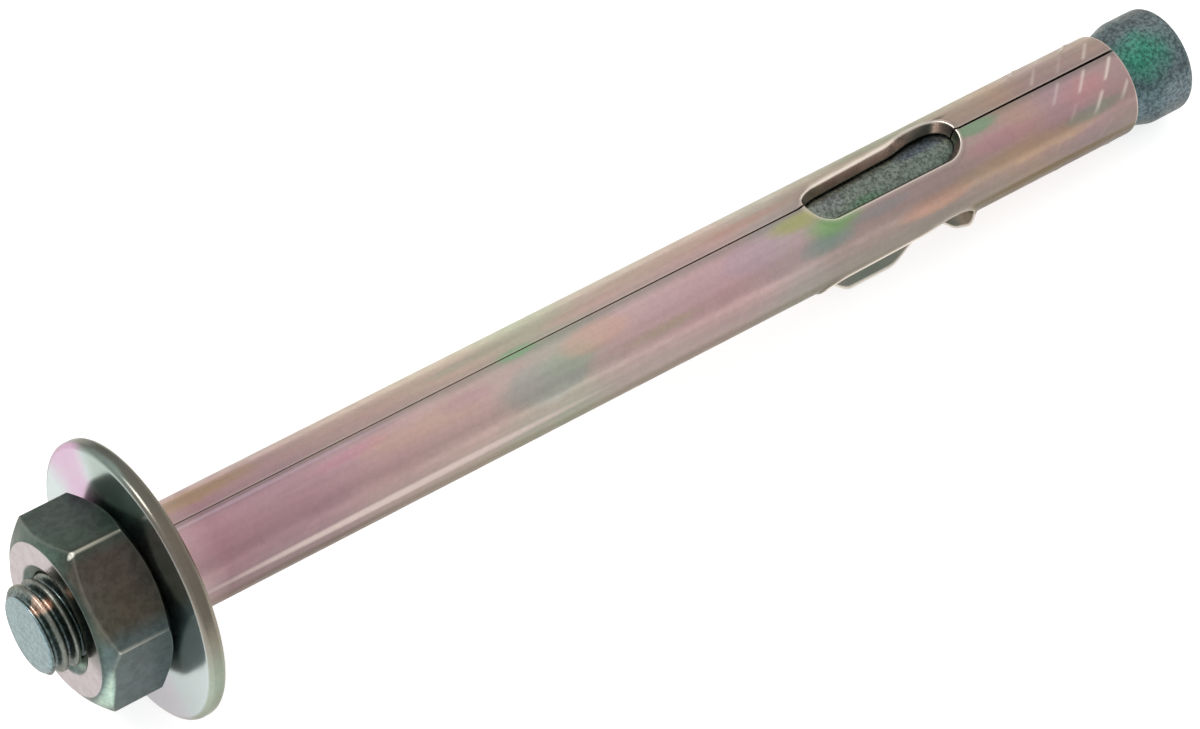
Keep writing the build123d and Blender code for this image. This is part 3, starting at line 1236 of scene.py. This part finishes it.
SLEEVE_FILM_AND_PAINTED_LIGHT = PlatedSteel(
    name="sleeve film and painted light",
    band_stops=film_stops(
        (0.000, 186, 164, 152),
        (0.389, 194, 188, 168),
        (0.431, 217, 202, 185),
        (0.472, 202, 182, 168),
        (0.505, 184, 168, 158),
        (0.519, 168, 158, 149),
        (0.550, 201, 178, 173),
        (0.625, 199, 173, 168),
        (0.667, 197, 174, 167),
        # painted shade: the stops from 0.700 to 0.833 darken the lower side that faces the table;
        # the other stops are film colour
        (0.700, 164, 148, 140),
        (0.728, 155, 144, 136),
        (0.761, 160, 151, 141),
        (0.789, 146, 138, 124),
        (0.833, 132, 124, 108),
        (1.000, 186, 164, 152),
    ),
    length_stops=(
        (0.000, (0.69, 0.48, 0.60)),
        (0.125, (0.74, 0.61, 0.72)),
        (0.220, (0.90, 0.80, 0.85)),
        (0.300, (0.97, 0.92, 0.92)),
        (0.375, (0.84, 0.98, 0.91)),
        (0.450, (0.95, 0.90, 0.94)),
        (0.550, (0.96, 0.84, 0.91)),
        (0.620, (0.84, 0.87, 0.91)),
        (0.700, (0.72, 0.72, 0.72)),
        (0.780, (0.66, 0.66, 0.66)),
        (0.840, (0.74, 0.70, 0.68)),
        (0.880, (0.79, 0.69, 0.64)),
        (0.930, (0.72, 0.64, 0.71)),
        (1.000, (0.73, 0.67, 0.69)),
    ),
    length_from=0.0,
    length_to=128.0,
    length_blend=Blend.MULTIPLY,
    length_share=1.0,
    highlight_colour=srgb(250, 238, 226),
    highlight_strength=0.95,
    patches=(
        Patch(4.0, -20.0, 15.0, 15.0, srgb(172, 146, 112), 0.7),
        Patch(22.0, -8.0, 9.0, 7.0, srgb(176, 150, 148), 0.5),
        Patch(41.0, -14.0, 8.0, 7.0, srgb(178, 176, 160), 0.6),
        Patch(55.0, -6.0, 7.0, 7.0, srgb(198, 166, 158), 0.5),
        Patch(66.0, -18.0, 10.0, 8.0, srgb(204, 180, 160), 0.5),
        Patch(79.0, -12.0, 7.0, 8.0, srgb(200, 158, 146), 0.5),
        Patch(24.0, 22.0, 7.0, 8.0, srgb(196, 144, 156), 0.6),
        Patch(32.0, 30.0, 9.0, 20.0, srgb(200, 168, 148), 0.5),
        Patch(37.5, 26.0, 5.0, 10.0, srgb(186, 154, 158), 0.6),
        Patch(46.5, 46.0, 6.5, 24.0, srgb(152, 166, 158), 0.5),
        Patch(50.5, 36.0, 4.0, 14.0, srgb(160, 174, 150), 0.4),
        Patch(45.5, 5.0, 3.0, 7.0, srgb(132, 172, 132), 0.7),
        Patch(55.0, 27.0, 5.5, 15.0, srgb(206, 166, 146), 0.5),
        Patch(65.0, 32.0, 9.0, 16.0, srgb(188, 158, 162), 0.4),
        Patch(62.0, 52.0, 6.0, 7.0, srgb(184, 168, 140), 0.5),
        Patch(76.0, 30.0, 5.5, 18.0, srgb(178, 156, 170), 0.5),
        Patch(84.5, 50.0, 4.5, 16.0, srgb(132, 156, 146), 0.8, 0.5),
        Patch(86.0, 34.0, 5.0, 19.0, srgb(126, 172, 110), 0.9, 0.5),
        Patch(82.5, 17.0, 5.0, 13.0, srgb(164, 166, 108), 0.85, 0.5),
        Patch(91.0, 44.0, 6.0, 8.0, srgb(150, 148, 148), 0.7),
        Patch(97.0, -36.0, 12.0, 13.0, srgb(140, 146, 124), 0.75, 0.3),
        # painted shade: dark patch on the right half of the top window's far wall
        Patch(102.2, -21.5, 4.4, 5.5, srgb(52, 54, 50), 0.95, 0.0),
        # painted shade: the next two dark patches lie on the tabs bent out at the lower window
        Patch(93.0, 152.0, 8.0, 15.0, srgb(92, 98, 90), 0.95, 0.3),
        Patch(104.3, 150.0, 2.8, 15.0, srgb(88, 88, 80), 0.95, 0.3),
        # painted highlight: pale pink line just below the seam near the washer
        Patch(14.0, 10.5, 24.0, 2.6, srgb(198, 172, 184), 0.5, 0.0),
        Patch(107.5, 12.0, 3.5, 9.0, srgb(126, 156, 126), 0.75),
        Patch(99.0, 66.0, 6.0, 12.0, srgb(178, 138, 118), 0.6),
        Patch(112.0, 60.0, 13.0, 14.0, srgb(174, 148, 118), 0.6),
        Patch(110.0, 36.0, 6.0, 12.0, srgb(180, 136, 142), 0.6),
        Patch(121.5, 28.0, 5.0, 20.0, srgb(196, 142, 144), 0.7),
        Patch(122.5, 54.0, 5.5, 10.0, srgb(146, 148, 134), 0.8),
        # painted shade: the next two dark patches run along the lower side near the table
        Patch(16.0, 104.0, 14.0, 7.0, srgb(112, 98, 92), 0.7, 0.0),
        Patch(116.0, 99.0, 16.0, 7.0, srgb(112, 98, 68), 0.8, 0.0),
        # painted highlight: bright line along the lower side, from the washer to the middle
        Patch(28.5, 84.5, 30.0, 6.5, srgb(190, 174, 168), 0.95, 0.0),
    ),
    bump=0.12,
    speck=0.03,
    streak=0.035,
)

WASHER_FILM_AND_PAINTED_LIGHT = PlatedSteel(
    name="washer film and painted light",
    band_stops=film_stops(
        (0.00, 124, 138, 130),
        (0.44, 96, 110, 104),
        (0.52, 98, 102, 92),
        (0.58, 112, 104, 92),
        (0.68, 126, 122, 108),
        (0.76, 156, 178, 160),
        (0.88, 150, 172, 150),
        (1.00, 124, 138, 130),
    ),
    # painted highlight: the pale stops at 0.00 and 0.80 paint light lines along the rim's front and
    # back edges; the brown stops between them are film colour
    length_stops=film_stops(
        (0.00, 152, 146, 138),
        (0.16, 142, 134, 126),
        (0.26, 112, 104, 94),
        (0.66, 104, 92, 84),
        (0.80, 150, 140, 126),
        (1.00, 120, 112, 100),
    ),
    length_from=-2.0,
    length_to=0.0,
    length_share=0.45,
    highlight_colour=srgb(150, 142, 126),
    highlight_strength=0.0,
    bright_colour=srgb(196, 208, 208),
    bright_roughness=0.21,
    patches=(
        Patch(-2.0, -54.0, 0.9, 26.0, srgb(200, 160, 192), 0.85),
        Patch(-2.0, -16.0, 0.9, 22.0, srgb(146, 164, 156), 0.75),
        Patch(-2.0, 150.0, 0.9, 26.0, srgb(206, 196, 208), 0.6),
    ),
    mottle_scale=0.08,
    patch_warp=1.6,
    roughness=(0.20, 0.28),
    lines=0.0,
    peel=0.4,
    bump=0.12,
    speck=0.03,
    streak=0.0,
)

NUT_FILM_AND_PAINTED_LIGHT = PlatedSteel(
    name="nut film and painted light",
    band_stops=film_stops(
        (0.00, 84, 96, 96),
        (0.40, 84, 99, 95),
        (0.50, 76, 96, 88),
        (0.525, 70, 78, 70),
        (0.545, 84, 72, 66),
        (0.65, 82, 74, 62),
        (0.69, 84, 100, 102),
        (0.80, 92, 108, 112),
        (1.00, 84, 96, 96),
    ),
    length_stops=film_stops(
        (0.00, 96, 112, 102),
        (0.16, 78, 84, 76),
        (0.50, 74, 72, 66),
        (1.00, 62, 72, 68),
    ),
    length_from=-10.4,
    length_to=-2.0,
    length_share=0.35,
    highlight_colour=srgb(236, 230, 212),
    highlight_strength=0.75,
    bright_colour=srgb(182, 173, 177),
    bright_roughness=0.15,
    patches=(
        # painted reflection: dark patch on the front face where the stud's thread is mirrored
        Patch(-10.4, 44.0, 0.45, 56.0, srgb(66, 78, 72), 0.92, 0.0),
        Patch(-9.75, 112.0, 0.62, 34.0, srgb(184, 212, 196), 0.85, 0.1),
        # painted glint: near-white spot at the tip of the upper front corner
        Patch(-9.1, 7.8, 0.45, 2.2, srgb(255, 252, 240), 1.0, 0.0),
    ),
    roughness=(0.30, 0.42),
    cells=1.0,
    speck=0.16,
    streak=0.0,
)

STUD_FILM_AND_PAINTED_LIGHT = PlatedSteel(
    name="stud film and painted light",
    band_stops=film_stops(
        (0.0, 102, 112, 118),
        (0.5, 100, 118, 118),
        (0.6, 68, 100, 98),
        (0.75, 72, 94, 102),
        (1.0, 102, 112, 118),
    ),
    length_stops=film_stops(
        (0.00, 98, 106, 102),
        (0.10, 98, 98, 90),
        (0.60, 134, 134, 118),
        (0.80, 112, 118, 106),
        (0.93, 78, 98, 100),
        (1.00, 112, 120, 124),
    ),
    length_from=-13.7,
    length_to=136.3,
    length_share=0.65,
    highlight_colour=srgb(158, 152, 136),
    highlight_strength=0.35,
    bright_colour=srgb(134, 154, 158),
    bright_roughness=0.24,
    patches=(
        Patch(131.0, 22.0, 4.6, 44.0, srgb(54, 138, 112), 0.85),
        # painted shadow: dark bluish spot on the shank in the top window, cast by the window's far
        # wall
        Patch(101.0, -8.0, 4.5, 14.0, srgb(80, 88, 102), 0.7),
        Patch(91.5, 30.0, 3.0, 14.0, srgb(82, 122, 92), 0.6),
        Patch(87.5, 6.0, 3.0, 18.0, srgb(122, 122, 126), 0.5),
        # painted highlight: coppery streak on the first crests of the thread
        Patch(-12.4, 10.0, 1.3, 16.0, srgb(228, 188, 166), 0.85, 0.3),
    ),
    patch_warp=1.8,
    roughness=(0.28, 0.44),
    peel=1.0,
    bump=0.4,
    cells=2.3,
    speck=0.42,
    streak=0.0,
)


# ---------------------------------------------------------------- studio


@dataclass(frozen=True)
class SoftPanel:
    """Rectangular soft light that looks at the origin, where the anchor lies."""

    name: str
    place_m: tuple[float, float, float]
    size_m: tuple[float, float]
    watts: float

    def add(self) -> None:
        """Adds the light to the scene."""
        data = bpy.data.lights.new(self.name, "AREA")
        data.shape = "RECTANGLE"
        data.size, data.size_y = self.size_m
        data.energy = self.watts
        light = bpy.data.objects.new(self.name, data)
        light.location = self.place_m
        light.rotation_euler = (-Vector(self.place_m)).to_track_quat("-Z", "Y").to_euler()
        bpy.context.scene.collection.objects.link(light)


@dataclass(frozen=True)
class Studio:
    """Pale lit table, soft light and the camera at the photograph's angle."""

    camera_m: tuple[float, float, float] = (-0.198024, -0.262177, 0.396407)
    heading_deg: float = -36.521
    pitch_deg: float = -49.984
    lens_mm: float = 142.8
    sensor_mm: float = 36.0
    table_half_m: float = 3.0
    table_colour: Colour = (0.62, 0.62, 0.62)
    paper_cells_per_m: float = 400.0
    paper_darkest: float = 0.985
    table_glow: float = 0.70
    table_glow_far: float = 0.18
    glow_from_m: float = 0.11
    glow_to_m: float = 0.28
    sky_low: float = 0.70
    sky_high: float = 0.95
    sky_towards: tuple[float, float, float] = (0.30, 0.10, 0.95)
    panel: SoftPanel = SoftPanel("corner panel", (-0.38, 0.24, 0.66), (0.30, 0.30), 2.4)

    def add_camera(self) -> None:
        """Places the camera by position, heading and pitch."""
        data = bpy.data.cameras.new("camera")
        data.lens = self.lens_mm
        data.sensor_width = self.sensor_mm
        data.clip_start = 0.01
        data.clip_end = 20.0
        camera = bpy.data.objects.new("camera", data)
        camera.location = self.camera_m
        lean = math.radians(90 + self.pitch_deg)
        camera.rotation_euler = (lean, 0.0, math.radians(self.heading_deg))
        bpy.context.scene.collection.objects.link(camera)
        bpy.context.scene.camera = camera

    def add_table(self) -> None:
        """Lays a wide pale table top that glows a little, as a light table does."""
        half = self.table_half_m
        corners = [(-half, -half, 0), (half, -half, 0), (half, half, 0), (-half, half, 0)]
        mesh = bpy.data.meshes.new("table")
        mesh.from_pydata(corners, [], [(0, 1, 2, 3)])
        table = bpy.data.objects.new("table", mesh)
        material = bpy.data.materials.new("pale table")
        material.use_nodes = True
        sheet = NodeSheet(material.node_tree)
        shader = material.node_tree.nodes["Principled BSDF"]
        place = sheet.add("ShaderNodeTexCoord").outputs["Object"]
        paper = sheet.cloud(place, self.paper_cells_per_m, detail=3.0)
        paper = sheet.grey(sheet.span(paper, *NOISE_SPAN, self.paper_darkest, 1.0))
        colour = sheet.blend(1.0, self.table_colour, paper, Blend.MULTIPLY)
        sheet.feed(shader.inputs["Base Color"], colour)
        shader.inputs["Roughness"].default_value = 0.9
        shader.inputs["Specular IOR Level"].default_value = 0.1
        away = sheet.add("ShaderNodeVectorMath", {0: place}, operation="LENGTH").outputs["Value"]
        levels = (self.table_glow, self.table_glow_far)
        glow = sheet.span(away, self.glow_from_m, self.glow_to_m, *levels)
        sheet.feed(shader.inputs["Emission Color"], sheet.grey(glow))
        shader.inputs["Emission Strength"].default_value = 1.0
        mesh.materials.append(material)
        bpy.context.scene.collection.objects.link(table)

    def add_sky(self) -> None:
        """Gives the world a soft white light, brightest overhead."""
        world = bpy.data.worlds.new("studio")
        bpy.context.scene.world = world
        world.use_nodes = True
        world.node_tree.nodes.clear()
        sheet = NodeSheet(world.node_tree)
        direction = sheet.add("ShaderNodeTexCoord").outputs["Generated"]
        pair = {0: direction, 1: self.sky_towards}
        facing = sheet.add("ShaderNodeVectorMath", pair, operation="DOT_PRODUCT").outputs["Value"]
        strength = sheet.span(facing, 0.2, 1.0, self.sky_low, self.sky_high)
        white = {"Color": (1.0, 1.0, 1.0), "Strength": strength}
        background = sheet.add("ShaderNodeBackground", white)
        sheet.add("ShaderNodeOutputWorld", {"Surface": background.outputs[0]})

    def build(self) -> None:
        """Sets the whole studio up."""
        self.add_table()
        self.add_sky()
        self.panel.add()
        self.add_camera()
        settings = bpy.context.scene.view_settings
        settings.view_transform = "Standard"
        settings.look = "None"


def dress(
    piece: bpy.types.Object,
    film: PlatedSteel,
    effects: SharedEffects,
    node: str,
    body: str,
) -> None:
    """Gives a piece its material, hides the CAD node that it stands for and hangs it on its body.

    Args:
        piece: the object.
        film: its finish, film colour with painted highlight and shade.
        effects: the shared node groups.
        node: the CAD node that it replaces.
        body: the moving body that carries it.
    """
    piece.data.materials.append(film.material(effects))
    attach(piece, body)
    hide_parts(node)
    points, faces = len(piece.data.vertices), len(piece.data.polygons)
    LOG.info("%s: %d points, %d faces, rides on %s", piece.name, points, faces, body)


def main() -> None:
    """Builds the anchor's pieces, dresses them and sets the studio up."""
    logging.basicConfig(level=logging.INFO, format="%(message)s")
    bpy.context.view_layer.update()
    place = AnchorFrame()
    thread = Thread()
    effects = SharedEffects(place)
    stud, sleeve = Stud(place, thread).build(), Sleeve(place).build()
    washer, nut = Washer(place).build(), Nut(place, thread).build()
    held = "sleeve_and_washer"
    dress(stud, STUD_FILM_AND_PAINTED_LIGHT, effects, "expander_stud", "stud")
    dress(sleeve, SLEEVE_FILM_AND_PAINTED_LIGHT, effects, "expansion_sleeve", held)
    dress(washer, WASHER_FILM_AND_PAINTED_LIGHT, effects, "flat_washer", held)
    dress(nut, NUT_FILM_AND_PAINTED_LIGHT, effects, "hex_nut", "nut")
    Studio().build()
    bpy.context.view_layer.update()


if __name__ == "__main__":
    main()
